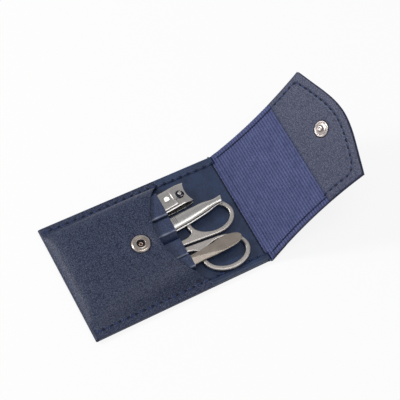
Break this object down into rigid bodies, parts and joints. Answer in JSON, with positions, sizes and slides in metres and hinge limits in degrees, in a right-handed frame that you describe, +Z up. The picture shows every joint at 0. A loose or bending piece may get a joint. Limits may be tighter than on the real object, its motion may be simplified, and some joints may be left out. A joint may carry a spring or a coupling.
{
  "type": "manicure set case",
  "caption": "Flat snap-flap wallet pouch with a curved mouth and a looped strip holding a nail clipper, slant tweezers, nail scissors and a cuticle pusher.",
  "frame": {"origin": "middle of the underside of the pouch, on the surface it lies on", "axes": "+X across the pouch, +Y from the closed end towards the flap, +Z up"},
  "size_m": [0.0744, 0.167, 0.0595],
  "materials": {
    "navy_leather": "fine grained PU leather, semi matt",
    "navy_lining": "smooth PU lining, satin",
    "ribbed_fabric": "ribbed woven lining",
    "stiffener": "plain sheet",
    "thread": "twisted thread",
    "snap_metal": "nickel plated, polished",
    "tool_steel": "satin stainless"
  },
  "bodies": {
    "pouch": {"back_leather": "navy_leather", "back_board": "stiffener", "inner_panel": "navy_lining", "front_leather": "navy_leather", "holder_strip": "navy_lining", "side_seam_threads": "thread", "holder_seam_threads": "thread", "snap_socket": "snap_metal", "snap_spring": "snap_metal", "snap_eyelet": "snap_metal"},
    "spine": {"spine_leather": "navy_leather", "spine_lining": "ribbed_fabric"},
    "flap": {"flap_leather": "navy_leather", "flap_board": "stiffener", "flap_ribbed_lining": "ribbed_fabric", "flap_facing": "navy_leather", "flap_seam_threads": "thread", "snap_stud": "snap_metal", "snap_cap": "snap_metal"},
    "clipper": {"clipper_lower_jaw": "tool_steel", "clipper_pin": "tool_steel", "clipper_rivet": "tool_steel"},
    "clipper_top": {"clipper_upper_jaw": "tool_steel"},
    "clipper_lever": {"clipper_lever": "tool_steel"},
    "tweezers": {"tweezers_lower_arm": "tool_steel"},
    "tweezers_top": {"tweezers_upper_arm": "tool_steel"},
    "scissors": {"scissors_left_half": "tool_steel", "scissors_rivet": "tool_steel"},
    "scissors_right": {"scissors_right_half": "tool_steel"},
    "pusher": {"cuticle_pusher": "tool_steel"}
  },
  "joints": [
    {"name": "spine_fold", "type": "hinge", "parent": "pouch", "child": "spine", "pos_m": [0, 0.053, 0.002], "axis": [1, 0, 0], "range_deg": [-43.4, 46]},
    {"name": "flap_fold", "type": "hinge", "parent": "spine", "child": "flap", "pos_m": [0, 0.05861, 0.00742], "axis": [1, 0, 0], "range_deg": [0, 88]},
    {"name": "clipper_slide", "type": "slide", "parent": "pouch", "child": "clipper", "axis": [0.061, -0.9981, 0], "range_m": [-0.022, 0]},
    {"name": "clipper_squeeze", "type": "hinge", "parent": "clipper", "child": "clipper_top", "pos_m": [-0.01636, -0.0224, 0.00345], "axis": [0.9981, 0.061, 0], "range_deg": [-1.4, 0], "stiffness_Nm_per_rad": 0.6, "springref_deg": 1.15},
    {"name": "clipper_lever_swing", "type": "hinge", "parent": "clipper_top", "child": "clipper_lever", "pos_m": [-0.01927, 0.02511, 0.00778], "axis": [0.0055, -0.0905, 0.9959], "range_deg": [-2, 2]},
    {"name": "tweezers_slide", "type": "slide", "parent": "pouch", "child": "tweezers", "axis": [0.0523, -0.9973, -0.0523], "range_m": [-0.012, 0]},
    {"name": "tweezers_squeeze", "type": "hinge", "parent": "tweezers", "child": "tweezers_top", "pos_m": [-0.00302, -0.02864, 0.00366], "axis": [0.9986, 0.0523, 0], "range_deg": [-0.5, 0], "stiffness_Nm_per_rad": 0.08, "springref_deg": 2.86},
    {"name": "scissors_slide", "type": "slide", "parent": "pouch", "child": "scissors", "axis": [-0.0819, -0.9966, 0], "range_m": [-0.0055, 0]},
    {"name": "scissors_open", "type": "hinge", "parent": "scissors", "child": "scissors_right", "pos_m": [0.0072, -0.011, 0.003], "axis": [0, 0, 1], "range_deg": [-2.4, 0]},
    {"name": "pusher_slide", "type": "slide", "parent": "pouch", "child": "pusher", "axis": [0.0453, -0.9977, -0.0497], "range_m": [-0.011, 0]}
  ]
}
